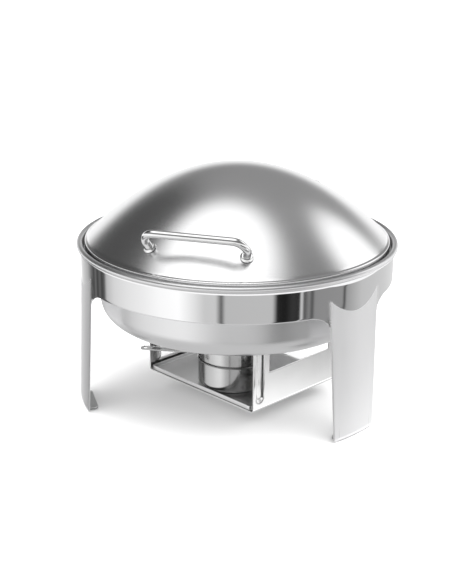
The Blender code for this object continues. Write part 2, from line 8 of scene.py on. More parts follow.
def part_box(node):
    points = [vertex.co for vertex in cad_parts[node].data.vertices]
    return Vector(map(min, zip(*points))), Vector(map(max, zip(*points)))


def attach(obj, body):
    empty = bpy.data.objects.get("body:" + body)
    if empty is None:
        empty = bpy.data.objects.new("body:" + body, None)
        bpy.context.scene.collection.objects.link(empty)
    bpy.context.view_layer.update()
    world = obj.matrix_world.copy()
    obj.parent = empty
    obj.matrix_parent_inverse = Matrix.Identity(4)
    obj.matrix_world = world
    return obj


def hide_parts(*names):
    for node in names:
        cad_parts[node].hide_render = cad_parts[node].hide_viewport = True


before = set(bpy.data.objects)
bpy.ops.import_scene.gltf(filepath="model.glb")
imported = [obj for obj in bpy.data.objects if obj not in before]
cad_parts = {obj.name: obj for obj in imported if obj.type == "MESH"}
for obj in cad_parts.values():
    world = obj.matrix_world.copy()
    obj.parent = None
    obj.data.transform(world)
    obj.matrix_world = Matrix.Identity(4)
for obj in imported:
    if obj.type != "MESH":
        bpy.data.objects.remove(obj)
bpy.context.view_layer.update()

# Camera ---------------------------------------------------------------------------------------
# A long lens a metre and a half away, a little to the right of the lid's handle and about
# twenty degrees above the table, so that the bracket shows under the band.

scene = bpy.context.scene
scene.view_settings.view_transform = "Standard"
camera_place = Vector((0.3499, -1.3293, 0.6126))
camera_aim = Vector((-0.24877, 0.90936, -0.33349))
camera_roll = 0.005
camera = bpy.data.objects.new("camera", bpy.data.cameras.new("camera"))
camera.data.lens = 72.45
camera.data.sensor_width = 36
camera.data.clip_end = 60
camera.location = camera_place
camera.rotation_euler = camera_aim.to_track_quat("-Z", "Y").to_euler()
camera.rotation_euler.rotate_axis("Z", camera_roll)
scene.collection.objects.link(camera)
scene.camera = camera


# Studio ---------------------------------------------------------------------------------------
# A pale table and soft light all round it: a large softbox overhead, a smaller one behind on the
# right, a grey wall behind, and a few dark gaps between the panels at table height.


class Field:
    """A socket's value inside one node tree. Arithmetic on it adds the Math nodes."""

    def __init__(self, tree, socket):
        self.tree = tree
        self.socket = socket

    def make(self, kind, settings=None, sockets=None, output=0):
        """Adds any other node: its settings first, then the values or links of its sockets."""
        node = self.tree.nodes.new(kind)
        for name, value in (settings or {}).items():
            if name == "stops":
                ramp = node.color_ramp
                while len(ramp.elements) > 1:
                    ramp.elements.remove(ramp.elements[-1])
                ramp.elements[0].position = value[0][0]
                for place, level in value[1:]:
                    ramp.elements.new(place)
                for element, (place, level) in zip(ramp.elements, value):
                    element.color = (level, level, level, 1)
            else:
                setattr(node, name, value)
        for name, value in (sockets or {}).items():
            if isinstance(value, Field):
                self.tree.links.new(value.socket, node.inputs[name])
            else:
                node.inputs[name].default_value = value
        return Field(self.tree, node.outputs[output])

    def sum(self, operation, *values):
        """A Math node on these values."""
        sockets = dict(enumerate(values))
        return self.make("ShaderNodeMath", {"operation": operation}, sockets)

    def __add__(self, other):
        return self.sum("ADD", self, other)

    __radd__ = __add__

    def __sub__(self, other):
        return self.sum("SUBTRACT", self, other)

    def __rsub__(self, other):
        return self.sum("SUBTRACT", other, self)

    def __mul__(self, other):
        return self.sum("MULTIPLY", self, other)

    __rmul__ = __mul__

    def __truediv__(self, other):
        return self.sum("DIVIDE", self, other)

    def rise(self, low, high):
        """Nought below the low value, one above the high value, with a smooth step between."""
        sockets = {"Value": self, "From Min": low, "From Max": high}
        return self.make("ShaderNodeMapRange", {"interpolation_type": "SMOOTHSTEP"}, sockets)

    def between(self, low, high, soft):
        """One from the low value to the high value, with a soft edge outside both."""
        return self.rise(low - soft, low) * (1 - self.rise(high, high + soft))

    def blend(self, other, share):
        """This value where the share is nought, the other where it is one."""
        return self * (1 - share) + other * share


def lamp_level(tone):
    """The light that a reflection of this brightness, from 0 to 255, needs behind it."""
    part = tone / 255
    return (((part + 0.055) / 1.055) ** 2.4 if part > 0.04 else part / 12.92) / 0.80


# How bright the room looks from the table, from 0 to 255, by azimuth in degrees from the front: the
# wall behind, the panels on the left, the open room in front, and the gaps and panels on the right.
room_tones = [
    (-180, 214), (-158, 240), (-150, 236), (-140, 205), (-124, 168), (-117, 112), (-112, 66),
    (-109, 104), (-106, 60), (-102.5, 96), (-99, 62), (-96, 92), (-93, 182), (-84, 208), (-70, 222),
    (-56, 232), (-42, 246), (-27, 252), (-16, 224), (-8, 196), (1, 176), (4, 84), (7, 181),
    (40, 183), (43.5, 34), (49.5, 28), (55, 52), (60, 40), (61.5, 214), (63.5, 66), (67, 128),
    (70, 74), (72, 134), (96, 140), (98, 60), (100, 150), (116, 188), (150, 200), (180, 214),
]

world = bpy.data.worlds.new("studio")
scene.world = world
world.use_nodes = True
tree = world.node_tree
tree.nodes.clear()
output = tree.nodes.new("ShaderNodeOutputWorld")
start = Field(tree, None)
direction = start.make("ShaderNodeTexCoord")
parts = start.make("ShaderNodeSeparateXYZ", None, {"Vector": direction})
east = Field(tree, parts.socket.node.outputs["X"])
north = Field(tree, parts.socket.node.outputs["Y"])
height = Field(tree, parts.socket.node.outputs["Z"])
azimuth = start.sum("ARCTAN2", east, north * -1) * degrees(1)
elevation = start.sum("ARCSINE", height) * degrees(1)


def ring_of(tones):
    """The room's brightness by azimuth, in two ramps because one ramp holds 32 stops."""
    halves = []
    for low in (-180, 0):
        stops = [((a - low) / 180, lamp_level(t)) for a, t in tones if low <= a <= low + 180]
        before = [t for a, t in tones if a < low]
        if before:
            stops.insert(0, (0.0, lamp_level(before[-1])))
        sockets = {"Fac": (azimuth - low) / 180}
        halves.append(start.make("ShaderNodeValToRGB", {"stops": stops}, sockets))
    return halves[0].blend(halves[1], azimuth.rise(-0.01, 0.01))


def heading(azimuth_at, elevation_at):
    """The direction at this azimuth and elevation in degrees, as a vector of length one."""
    flat = cos(radians(elevation_at))
    east_part = flat * sin(radians(azimuth_at))
    return Vector((east_part, -flat * cos(radians(azimuth_at)), sin(radians(elevation_at))))


def softbox(azimuth_at, elevation_at, half_angle, soft):
    """How far a direction lies inside a round softbox, from nought to one."""
    sockets = {0: direction, 1: heading(azimuth_at, elevation_at)}
    cosine = start.make("ShaderNodeVectorMath", {"operation": "DOT_PRODUCT"}, sockets, 1)
    return cosine.rise(cos(radians(half_angle + soft)), cos(radians(half_angle - soft)))


room = ring_of(room_tones)
right_side = azimuth.between(84, 181, 6)
foot_of_room = elevation.rise(-26, -22) + (1 - right_side) * elevation.rise(-40, -30)
foot_of_room = start.sum("MINIMUM", foot_of_room, 1.0)
lit_strip = right_side * elevation.between(-34, -23.5, 1.5)
table_glow = lamp_level(196) * (1 - lit_strip) + lamp_level(255) * 1.25 * lit_strip
sky_low = 0.95
sky_high = 0.23
sky = sky_low * (1 - elevation.rise(4, 20)) + sky_high
sky = sky.blend(0.075, softbox(-112, 33, 26, 10))
sky = sky.blend(0.30, softbox(170, 45, 30, 12))
sky = sky.blend(1.5, softbox(136, 30, 16, 6))
sky = sky.blend(1.55, softbox(-42, 79, 28, 8))
above = elevation.rise(-14, -11)
light = table_glow.blend(room, foot_of_room).blend(sky, above)
seen_by_camera = start.make("ShaderNodeLightPath")
backdrop = 1.05
glow = start.make("ShaderNodeBackground", None, {"Color": light, "Strength": 1.0})
white = start.make("ShaderNodeBackground", None, {"Color": (1, 1, 1, 1), "Strength": backdrop})
shown = start.make("ShaderNodeMixShader", None, {0: seen_by_camera, 1: glow, 2: white})
tree.links.new(shown.socket, output.inputs["Surface"])

table_size = 12.0
shape = bmesh.new()
bmesh.ops.create_grid(shape, x_segments=2, y_segments=2, size=table_size)
table_mesh = bpy.data.meshes.new("table")
shape.to_mesh(table_mesh)
shape.free()
table = bpy.data.objects.new("table", table_mesh)
scene.collection.objects.link(table)
table_coat = bpy.data.materials.new("table_white")
table_coat.use_nodes = True
table_shader = table_coat.node_tree.nodes["Principled BSDF"]
table_shader.inputs["Base Color"].default_value = (0.86, 0.86, 0.86, 1)
table_shader.inputs["Roughness"].default_value = 0.9
table_mesh.materials.append(table_coat)
table_gap = 0.0004
table.location.z = -table_gap
table.visible_glossy = False


def lamp(name, strength, spread, azimuth_from, elevation_from):
    """A wide soft sun, which lights the table but doesn't show in the polished metal."""
    made = bpy.data.objects.new(name, bpy.data.lights.new(name, "SUN"))
    made.data.energy = strength
    made.data.angle = radians(spread)
    made.rotation_euler = heading(azimuth_from, elevation_from).to_track_quat("Z", "Y").to_euler()
    made.visible_glossy = False
    scene.collection.objects.link(made)


lamp("key", 3.0, 75, 125, 62)
lamp("fill", 4.2, 150, 0, 80)


# Band and legs --------------------------------------------------------------------------------
# One strip of 1.2 mm stainless sheet, pressed to a ring with three legs and welded at the back.
# The band is mirror-polished; below a smile-shaped press line each leg leans out and is satin.

frame_low, frame_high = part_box("apron_frame")
pan_low, pan_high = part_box("water_pan")
rim_radius = pan_high.x
bead_radius = 0.0045
band_radius = rim_radius - bead_radius
sheet = 0.0012
band_height = 0.0345
tuck = 0.0012
band_bottom = frame_high.z - band_height
band_top = frame_high.z + tuck
leg_centres = [radians(a) for a in (-60, 60, 180)]
leg_top_width = 0.0825
leg_foot_width = 0.0672
leg_top_half = leg_top_width / 2 / band_radius
leg_foot_half = leg_foot_width / 2 / band_radius
arch_drop = 0.018
arch_across = 0.028
arch_half = leg_top_half + arch_across / band_radius
splay = 0.0055
leg_lift = frame_low.z
smile_low = 0.1545
smile_rise = 0.021
press_step = 0.0006
side_step = 0.08
band_columns = 56
paler = 1.06
deeper = 0.88


def polar(radius, azimuth, height=0.0):
    """The point at this azimuth from the front, round the frame's axis."""
    return Vector((radius * sin(azimuth), -radius * cos(azimuth), height))


def metal(name, colour, roughness, wear):
    """A bare metal. The wear function gives its tint, roughness, relief and the relief's depth."""
    made = bpy.data.materials.new(name)
    made.use_nodes = True
    nodes = made.node_tree
    shader = nodes.nodes["Principled BSDF"]
    shader.inputs["Metallic"].default_value = 1.0
    begin = Field(nodes, None)
    place = begin.make("ShaderNodeTexCoord", output=3)
    tint, rough, lift, strength, distance = wear(begin, place, roughness)
    pale = (*[min(1.0, c * paler) for c in colour], 1)
    deep = (*[c * deeper for c in colour], 1)
    sockets = {0: tint, 6: deep, 7: pale}
    mixed = begin.make("ShaderNodeMix", {"data_type": "RGBA"}, sockets, 2)
    nodes.links.new(mixed.socket, shader.inputs["Base Color"])
    nodes.links.new(rough.socket, shader.inputs["Roughness"])
    sockets = {"Strength": strength, "Distance": distance, "Height": lift}
    bump = begin.make("ShaderNodeBump", None, sockets)
    nodes.links.new(bump.socket, shader.inputs["Normal"])
    return made


def noise(begin, place, scale, detail=2.0, stretch=(1, 1, 1)):
    """Smooth random grain; the stretch sets how fine it is along each axis."""
    moved = begin.make("ShaderNodeMapping", None, {"Vector": place, "Scale": stretch})
    sockets = {"Vector": moved, "Scale": scale, "Detail": detail}
    return begin.make("ShaderNodeTexNoise", None, sockets)


def turned_grain(begin, place):
    """Grain that runs round the vertical axis, as a lathe leaves it: fine across, long round."""
    parts = begin.make("ShaderNodeSeparateXYZ", None, {"Vector": place})
    x = Field(begin.tree, parts.socket.node.outputs["X"])
    y = Field(begin.tree, parts.socket.node.outputs["Y"])
    z = Field(begin.tree, parts.socket.node.outputs["Z"])
    radius = begin.sum("SQRT", x * x + y * y)
    around = begin.sum("ARCTAN2", x, y)
    rings_per_metre = 900
    sockets = {"X": radius * rings_per_metre, "Y": around * 1.6, "Z": z * rings_per_metre}
    spun = begin.make("ShaderNodeCombineXYZ", None, sockets)
    return noise(begin, spun, 1.0, 3.0)


def band_wear(begin, place, roughness):
    """Mirror polish with faint buffing marks, satin below each leg's press line."""
    satin = begin.make("ShaderNodeAttribute", {"attribute_name": "satin_share"}, output=2)
    smudge = noise(begin, place, 14, 3)
    buff = noise(begin, place, 60, 2, (1, 1, 14))
    grain = noise(begin, place, 240, 3, (1, 1, 0.04))
    ripple = noise(begin, place, 9, 1)
    rough = roughness + smudge * 0.03 + buff * 0.03 + satin * (0.20 + 0.08 * grain)
    lift = ripple * 0.35 + buff * 0.02 + satin * grain * 0.22
    return satin * 0.5 + smudge * 0.3 + 0.2, rough, lift, 0.10, 0.002


polished_sheet = metal("polished_sheet", (0.88, 0.88, 0.885), 0.03, band_wear)


def settle(made):
    """Turns the object with its modifiers into a plain mesh, with its faces pointing out."""
    graph = bpy.context.evaluated_depsgraph_get()
    final = bpy.data.meshes.new_from_object(made.evaluated_get(graph))
    made.modifiers.clear()
    made.data = final
    shape = bmesh.new()
    shape.from_mesh(final)
    bmesh.ops.recalc_face_normals(shape, faces=shape.faces)
    shape.to_mesh(final)
    shape.free()
    return made


def linked(name, shape, coat):
    """The finished bmesh as an object in the scene, with its material."""
    mesh = bpy.data.meshes.new(name)
    shape.to_mesh(mesh)
    shape.free()
    mesh.materials.append(coat)
    made = bpy.data.objects.new(name, mesh)
    scene.collection.objects.link(made)
    return made


def sharpen(made):
    """Shades the piece smooth, with a sharp edge wherever it turns more than 35 degrees."""
    made.data.shade_smooth()
    made.data.set_sharp_from_angle(angle=radians(35))
    return made


def thicken(made, thickness, side, edge=0.0003):
    """Gives a sheet its thickness on one side and rounds its cut edges."""
    solid = made.modifiers.new("sheet", "SOLIDIFY")
    solid.thickness = thickness
    solid.offset = side
    solid.use_even_offset = True
    bevel = made.modifiers.new("edges", "BEVEL")
    bevel.width = edge
    bevel.segments = 2
    bevel.limit_method = "ANGLE"
    bevel.angle_limit = radians(60)
    return sharpen(settle(made))


def stands_for(made, body, slot, *nodes):
    """The piece rides on its body in place of these CAD solids."""
    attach(made, body)
    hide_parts(*nodes)
    return made


def smile_level(away):
    """Height of the press line, this far in radians from a leg's middle."""
    share = min(1.0, away / leg_top_half)
    return smile_low + smile_rise * share**2


def leg_share(away):
    """One on the leg, nought on the band beside it."""
    past = (away - leg_top_half) / (side_step * leg_top_half)
    return 1 - min(1.0, max(0.0, past))


def leg_half(height):
    """Half the angle that a leg covers at this height, with the arch that joins it to the band."""
    straight = leg_foot_half + (leg_top_half - leg_foot_half) * height / band_bottom
    below = band_bottom - height
    if below >= arch_drop:
        return straight
    flare = arch_across * (1 - sqrt(1 - (1 - below / arch_drop) ** 2))
    return straight + flare / band_radius


def frame_point(azimuth, height):
    """A point of the sheet's outer face, and how satin it is there."""
    away = min(abs((azimuth - leg + pi) % (2 * pi) - pi) for leg in leg_centres)
    below = max(0.0, smile_level(away) - height)
    share = leg_share(away)
    lean = splay * below / band_bottom * share
    return polar(band_radius + lean, azimuth, height), share * min(1.0, below / press_step)


upper_rows = 6
lower_rows = 8
arch_columns = 12
middle_columns = 30
straight_rows = 36
turn_level = band_bottom - arch_drop * (1 - sqrt(0.5))
turn_half = leg_half(turn_level)


def leg_steps():
    """The columns of one leg from its middle: even ones, then those of the two arches."""
    widening = (arch_half - turn_half) / arch_columns
    arch = [turn_half + widening * step for step in range(1, arch_columns)]
    even = [turn_half * (2 * step / middle_columns - 1) for step in range(middle_columns + 1)]
    return [-arch_half] + [-half for half in arch[::-1]] + even + arch


def lowest(away):
    """Height of the sheet's lower edge at this column, above the part where the leg narrows."""
    if away >= arch_half:
        return band_bottom
    if away <= turn_half:
        return turn_level
    across = (arch_half - away) * band_radius / arch_across
    return band_bottom - arch_drop * (1 - sqrt(1 - across**2))


shape = bmesh.new()
satin_layer = shape.verts.layers.float.new("satin_share")


def frame_vertex(azimuth, height):
    """Adds the sheet's point here to the mesh, with how satin it is."""
    point, satin_share = frame_point(azimuth, height)
    vertex = shape.verts.new(point)
    vertex[satin_layer] = satin_share
    return vertex


between = radians(120) - 2 * arch_half
grid = []
for leg in leg_centres:
    steps = leg_steps()
    steps += [arch_half + between * step / band_columns for step in range(band_columns)]
    for step in steps:
        away = min(abs(step), abs(step - radians(120)))
        crease = smile_level(away)
        levels = [band_top + (crease - band_top) * row / upper_rows for row in range(upper_rows)]
        low = lowest(away)
        levels += [crease + (low - crease) * row / lower_rows for row in range(lower_rows + 1)]
        grid.append([frame_vertex(leg + step, level) for level in levels])
for column, after in zip(grid, grid[1:] + grid[:1]):
    for row in range(upper_rows + lower_rows):
        shape.faces.new((column[row], column[row + 1], after[row + 1], after[row]))
straight_top = band_bottom - arch_drop
shares = [2 * step / middle_columns - 1 for step in range(middle_columns + 1)]
for index, leg in enumerate(leg_centres):
    first = index * (len(leg_steps()) + band_columns) + arch_columns
    above = [grid[first + step][-1] for step in range(middle_columns + 1)]
    turns = [sin(pi / 4 * (1 - row / arch_columns)) for row in range(1, arch_columns + 1)]
    levels = [straight_top + arch_drop * share for share in turns]
    drop = (leg_lift - straight_top) / straight_rows
    levels += [straight_top + drop * row for row in range(1, straight_rows + 1)]
    for level in levels:
        row = [frame_vertex(leg + leg_half(level) * share, level) for share in shares]
        for step in range(middle_columns):
            shape.faces.new((above[step], row[step], row[step + 1], above[step + 1]))
        above = row
band = thicken(linked("band_and_legs", shape, polished_sheet), sheet, -1)
stands_for(band, "frame", "polished_steel", "apron_frame")


# Feet -----------------------------------------------------------------------------------------
# A strip of 2 mm steel bent to an L and spot-welded inside each leg. Its round-ended tongue
# stands on a pad of black rubber.


def brushed_wear(begin, place, roughness):
    """Straight brushing marks along the strip, with a few deeper scratches."""
    grain = noise(begin, place, 300, 3, (1, 1, 0.05))
    cloud = noise(begin, place, 25, 2)
    return cloud, roughness + grain * 0.12 + cloud * 0.05, grain, 0.12, 0.0006


def rubber_wear(begin, place, roughness):
    """Moulded rubber: fine grain, with dust in its low spots."""
    grain = noise(begin, place, 900, 4)
    dust = noise(begin, place, 60, 3)
    return dust, roughness + dust * 0.15, grain, 0.3, 0.0004


def dull(coat):
    """Takes the metal out of a coat, for rubber, plastic and gel."""
    coat.node_tree.nodes["Principled BSDF"].inputs["Metallic"].default_value = 0.0
    return coat


brushed_strip = metal("brushed_strip", (0.70, 0.70, 0.70), 0.24, brushed_wear)
pad_rubber = dull(metal("pad_rubber", (0.045, 0.045, 0.045), 0.6, rubber_wear))
foot_width = 0.054
foot_tongue = 0.012
foot_corner = 0.006
foot_sheet = 0.002
pad_height = 0.002
weld_gap = 0.0003


def tongue_shape(steps=12):
    """The tongue's outline: square at the leg and round at its end."""
    found = [(0.0, foot_width / 2)]
    side = foot_width / 2 - foot_corner
    for corner, begin_at in ((side, 90), (-side, 180)):
        for step in range(steps + 1):
            angle = radians(begin_at + 90 * step / steps)
            x = foot_corner - foot_tongue + foot_corner * cos(angle)
            found.append((x, corner + foot_corner * sin(angle)))
    return found + [(0.0, -foot_width / 2)]


def plate(name, outline, low, high, coat, holes=(), edge=0.0003):
    """A flat blank cut to an outline, with round holes, and its edges broken."""
    shape = bmesh.new()
    turns = [2 * pi * step / 32 for step in range(32)]
    loops = [outline] + [[(x + r * cos(a), y + r * sin(a)) for a in turns] for x, y, r in holes]
    edges = []
    for loop in loops:
        ring = [shape.verts.new((x, y, low)) for x, y in loop]
        edges += [shape.edges.new((a, b)) for a, b in zip(ring, ring[1:] + ring[:1])]
    bmesh.ops.triangle_fill(shape, use_beauty=True, use_dissolve=True, edges=edges)
    bmesh.ops.recalc_face_normals(shape, faces=shape.faces)
    for face in shape.faces:
        if face.normal.z > 0:
            face.normal_flip()
    return thicken(linked(name, shape, coat), high - low, -1, edge)


def stood(made, place, turn):
    """Bakes the piece's turn about the vertical and its place into its mesh."""
    made.data.transform(Matrix.Translation(place) @ Matrix.Rotation(turn, 4, "Z"))
    return made


inside_foot = band_radius + splay - sheet
foot_face = sqrt(inside_foot**2 - (foot_width / 2) ** 2) - 2 * weld_gap
foot_upright = 0.020
bend_steps = 5
tongue_rows = 14
foot_columns = 8
foot_bend = foot_sheet * 1.2
foot_low = pad_height + weld_gap
for number, leg in enumerate(leg_centres, 1):
    place = polar(foot_face, leg)
    pad = plate(f"rubber_pad_{number}", tongue_shape(), 0.0, pad_height, pad_rubber, edge=0.0004)
    stands_for(stood(pad, place, leg - pi / 2), "frame", "rubber", f"foot_pad_{number}")
    line = []
    for step in range(tongue_rows + 1):
        x = -foot_tongue + (foot_tongue - foot_bend) * step / tongue_rows
        past = max(0.0, foot_corner - (x + foot_tongue))
        round_half = sqrt(max(0.0, foot_corner**2 - past**2))
        line.append((x, foot_low, foot_width / 2 - foot_corner + round_half))
    for step in range(1, bend_steps + 1):
        angle = pi / 2 * step / bend_steps
        level = foot_low + foot_bend * (1 - cos(angle))
        line.append((-foot_bend + foot_bend * sin(angle), level, foot_width / 2))
    lean = splay * foot_upright / band_bottom
    line.append((-lean, foot_low + foot_upright, foot_width / 2))
    shape = bmesh.new()
    shares = [2 * side / foot_columns - 1 for side in range(foot_columns + 1)]
    rows = [[shape.verts.new((x, half * share, z)) for share in shares] for x, z, half in line]
    for first, second in zip(rows, rows[1:]):
        for side in range(foot_columns):
            shape.faces.new((first[side], first[side + 1], second[side + 1], second[side]))
    foot = thicken(linked(f"leg_foot_{number}", shape, brushed_strip), foot_sheet, 1)
    stands_for(stood(foot, place, leg - pi / 2), "frame", "satin_steel", f"foot_{number}")


# Support ring ---------------------------------------------------------------------------------
# An angle ring of 1.2 mm sheet, spot-welded inside the band. The water pan's ledge rests on it.

plain_steel = metal("plain_steel", (0.72, 0.72, 0.72), 0.30, brushed_wear)
bpy.data.objects["support_ring"].material_slots[0].material = plain_steel


# Water pan ------------------------------------------------------------------------------------
# Deep-drawn 1 mm stainless pan, about 9 cm deep, with a satin finish outside. Its ledge holds the
# food pan, and its edge is rolled outwards to a bead that caps the band.


def satin_wear(begin, place, roughness):
    """Satin finish turned on a lathe: fine rings, with faint wider ones and a little haze."""
    fine = turned_grain(begin, place)
    cloud = noise(begin, place, 11, 2)
    speck = noise(begin, place, 420, 3)
    rough = roughness + fine * 0.05 + speck * 0.04 + cloud * 0.03
    return cloud, rough, fine * 0.7 + speck * 0.3, 0.05, 0.0006


satin_pan = metal("satin_pan", (0.80, 0.80, 0.805), 0.27, satin_wear)


def bent(corners, steps=8):
    """The line through corners given as radius, height and bend radius; each bend is an arc."""
    found = []
    for index, (x, z, bend) in enumerate(corners):
        if not bend:
            found.append((x, z))
            continue
        here = Vector((x, z))
        before = (Vector(corners[index - 1][:2]) - here).normalized()
        after = (Vector(corners[index + 1][:2]) - here).normalized()
        half = before.angle(after) / 2
        centre = here + (before + after).normalized() * bend / sin(half)
        ends = [here + side * bend / tan(half) - centre for side in (before, after)]
        first, last = [atan2(end.y, end.x) for end in ends]
        sweep = (last - first + pi) % (2 * pi) - pi
        for step in range(steps + 1):
            angle = first + sweep * step / steps
            found.append((centre.x + bend * cos(angle), centre.y + bend * sin(angle)))
    return found


def beside(line, distance):
    """The line moved this far to its left, with its corners mitred."""
    found = []
    sharpest = 0.5
    last = len(line) - 1
    for index in range(last + 1):
        here = Vector(line[index])
        before = here - Vector(line[index - 1]) if index else None
        after = Vector(line[index + 1]) - here if index < last else before
        before = (before or after).normalized()
        after = after.normalized()
        left = Vector((-before.y, before.x))
        across = (left + Vector((-after.y, after.x))).normalized()
        moved = here + across * distance / max(sharpest, across.dot(left))
        found.append((0.0 if line[index][0] == 0 else moved.x, moved.y))
    return found


def walled(line, thickness):
    """The outline of a sheet whose middle follows this line."""
    return beside(line, -thickness / 2) + beside(line, thickness / 2)[::-1]


seam_gap = 0.000004


def lathe_tree():
    """The geometry of a turned piece: its outline, carried round the vertical axis in columns."""
    made = bpy.data.node_groups.new("turned_piece", "GeometryNodeTree")
    face = made.interface
    face.new_socket("Outline", in_out="INPUT", socket_type="NodeSocketGeometry")
    face.new_socket("Columns", in_out="INPUT", socket_type="NodeSocketInt")
    face.new_socket("Coat", in_out="INPUT", socket_type="NodeSocketMaterial")
    face.new_socket("Piece", in_out="OUTPUT", socket_type="NodeSocketGeometry")
    start = Field(made, None)
    into = made.nodes.new("NodeGroupInput")
    outline, columns, coat = [Field(made, socket) for socket in into.outputs[:3]]
    rows = start.make("GeometryNodeAttributeDomainSize", {"component": "MESH"}, {"Geometry": outline})
    grid = start.make("GeometryNodeMeshGrid", None, {"Vertices X": columns + 1, "Vertices Y": rows})
    index = start.make("GeometryNodeInputIndex")
    column = start.sum("FLOOR", (index + 0.5) / rows)
    row = index - column * rows
    place = start.make("GeometryNodeInputPosition")
    sockets = {"Geometry": outline, "Value": place, "Index": row}
    sampled = start.make("GeometryNodeSampleIndex", {"data_type": "FLOAT_VECTOR"}, sockets)
    sockets = {"Vector": sampled, "Angle": column / columns * (2 * pi)}
    spun = start.make("ShaderNodeVectorRotate", {"rotation_type": "Z_AXIS"}, sockets)
    wall = start.make("GeometryNodeSetPosition", None, {"Geometry": grid, "Position": spun})
    sockets = {"Geometry": wall, "Distance": seam_gap}
    joined = start.make("GeometryNodeMergeByDistance", None, sockets)
    real = start.make("GeometryNodeRealizeInstances", None, {"Geometry": joined})
    done = start.make("GeometryNodeSetMaterial", None, {"Geometry": real, "Material": coat})
    made.links.new(done.socket, made.nodes.new("NodeGroupOutput").inputs[0])
    return made


turned_piece = lathe_tree()


def grown(name, mesh, tree, coat, values):
    """Runs a geometry tree on a mesh with these inputs, and keeps what it makes."""
    made = bpy.data.objects.new(name, mesh)
    scene.collection.objects.link(made)
    grow = made.modifiers.new("grow", "NODES")
    grow.node_group = tree
    for item in tree.interface.items_tree:
        if item.in_out == "INPUT" and item.name in values:
            grow[item.identifier] = values[item.name]
        elif item.in_out == "INPUT" and item.name == "Coat":
            grow[item.identifier] = coat
    return sharpen(settle(made))


def turned(name, outline, coat, columns=256):
    """A piece of revolution from its outline, open where it meets the axis and closed elsewhere."""
    points = list(outline)
    if points[0][0] > 0:
        points.append(points[0])
    mesh = bpy.data.meshes.new(name)
    edges = [(index, index + 1) for index in range(len(points) - 1)]
    mesh.from_pydata([(x, 0, z) for x, z in points], edges, [])
    return grown(name, mesh, turned_piece, coat, {"Columns": columns})


pan_sheet = 0.0010
bead_inside = rim_radius - 2 * bead_radius
rim_height = pan_high.z - bead_radius
ledge_level = rim_height - bead_radius + pan_sheet / 2
pan_floor = pan_low.z + pan_sheet / 2
ledge = 0.0185
pan_radius = bead_inside - ledge
pan_corner = 0.024
ledge_bend = 0.004
bead_steps = 28
line = bent([
    (0, pan_floor, 0), (pan_radius, pan_floor, pan_corner), (pan_radius, ledge_level, ledge_bend),
    (bead_inside, ledge_level, 0),
], 14)
roll = 0.0038
roll_radius = rim_radius - roll
roll_level = pan_high.z - roll
bead = []
for step in range(bead_steps + 1):
    angle = radians(-90 + 270 * step / bead_steps)
    bead.append((roll_radius + roll * cos(angle), roll_level + roll * sin(angle)))
outline = beside(line, -pan_sheet / 2)[:-1] + bead + beside(line, pan_sheet / 2)[::-1]
pan = turned("water_pan_drawn", outline, satin_pan)
stands_for(pan, "water_pan", "satin_steel", "water_pan")


# Burner bracket -------------------------------------------------------------------------------
# A strap of 1.2 mm polished steel bent to a U. Each side has a window, the left one cut down almost
# to the tray, and two pressed ribs. Its top is turned in to a flange, which four nuts hold.

bracket_turn = radians(60) - pi / 2
bracket_at = (0.0117, 0.0002, 0.0)
bracket_low, bracket_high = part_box("burner_bracket")
half_width = 0.0915
half_depth = 0.0795
strap = 0.0012
flange = 0.016
strap_bend = 0.0028
window_halves = (0.0615, 0.053)
window_lows = (0.0310, 0.0640)
window_high = 0.0910
rib_along = 0.0685
rib_low = 0.0290
rib_half = 0.0070
rib_slope = 0.0042
rib_deep = 0.0016
rib_end = 0.004
rib_clear = 0.003
wall_step = 0.0015
rib_step = 0.001
window_step = 0.006
wall_slack = 1e-6


def bracket_wear(begin, place, roughness):
    """Polished strip: light rolling marks along it and a few fine scratches."""
    grain = noise(begin, place, 260, 2, (1, 1, 0.05))
    cloud = noise(begin, place, 16, 2)
    return cloud, roughness + grain * 0.05 + cloud * 0.04, grain * 0.2 + cloud * 0.5, 0.08, 0.0012


polished_strap = metal("polished_strap", (0.83, 0.83, 0.83), 0.09, bracket_wear)


def rib_press(along, height):
    """How far the rib's tool pushes the wall inwards here."""
    away = hypot(abs(along) - rib_along, max(0.0, rib_low + rib_half - height))
    share = min(1.0, max(0.0, (rib_half - away) / rib_slope))
    fade = min(1.0, max(0.0, (bracket_high.z - rib_clear - height) / rib_end))
    return rib_deep * share * share * (3 - 2 * share) * fade


def spaced(ends, step):
    """Even places between these ends, with every end kept."""
    found = []
    for low, high in zip(ends, ends[1:]):
        count = max(1, round(abs(high - low) / step))
        found += [low + (high - low) * part / count for part in range(count)]
    return found + [ends[-1]]


top = bracket_high.z - strap / 2
floor = bracket_low.z + strap / 2
wall = half_width - strap / 2
flange_in = half_width - flange
bend_line = bent([
    (flange_in, top, 0), (wall, top, strap_bend), (wall, floor, strap_bend), (0, floor, 0),
], 6)
side_line = []
for (x0, z0), (x1, z1) in zip(bend_line, bend_line[1:]):
    if abs(x0 - x1) < wall_slack:
        levels = spaced([z0, window_high, *window_lows[::-1], z1], wall_step)
        side_line += [(x0, level) for level in levels[:-1]]
    elif abs(z0 - z1) < wall_slack and abs(x0 - x1) > flange * 2:
        side_line += [(x0 + (x1 - x0) * part / 8, z0) for part in range(8)]
    else:
        side_line.append((x0, z0))
side_line.append(bend_line[-1])
strap_line = side_line + [(-x, z) for x, z in side_line[-2::-1]]
near = spaced([-half_depth, *[-half for half in window_halves]], rib_step)
depths = near + spaced([-window_halves[1], window_halves[1]], window_step)[1:-1]
depths += [-value for value in near[::-1]]
shape = bmesh.new()
rows = []
for x, z in strap_line:
    inwards = (-1 if x > 0 else 1) if abs(abs(x) - wall) < wall_slack else 0
    rows.append([shape.verts.new((x + inwards * rib_press(along, z), along, z)) for along in depths])
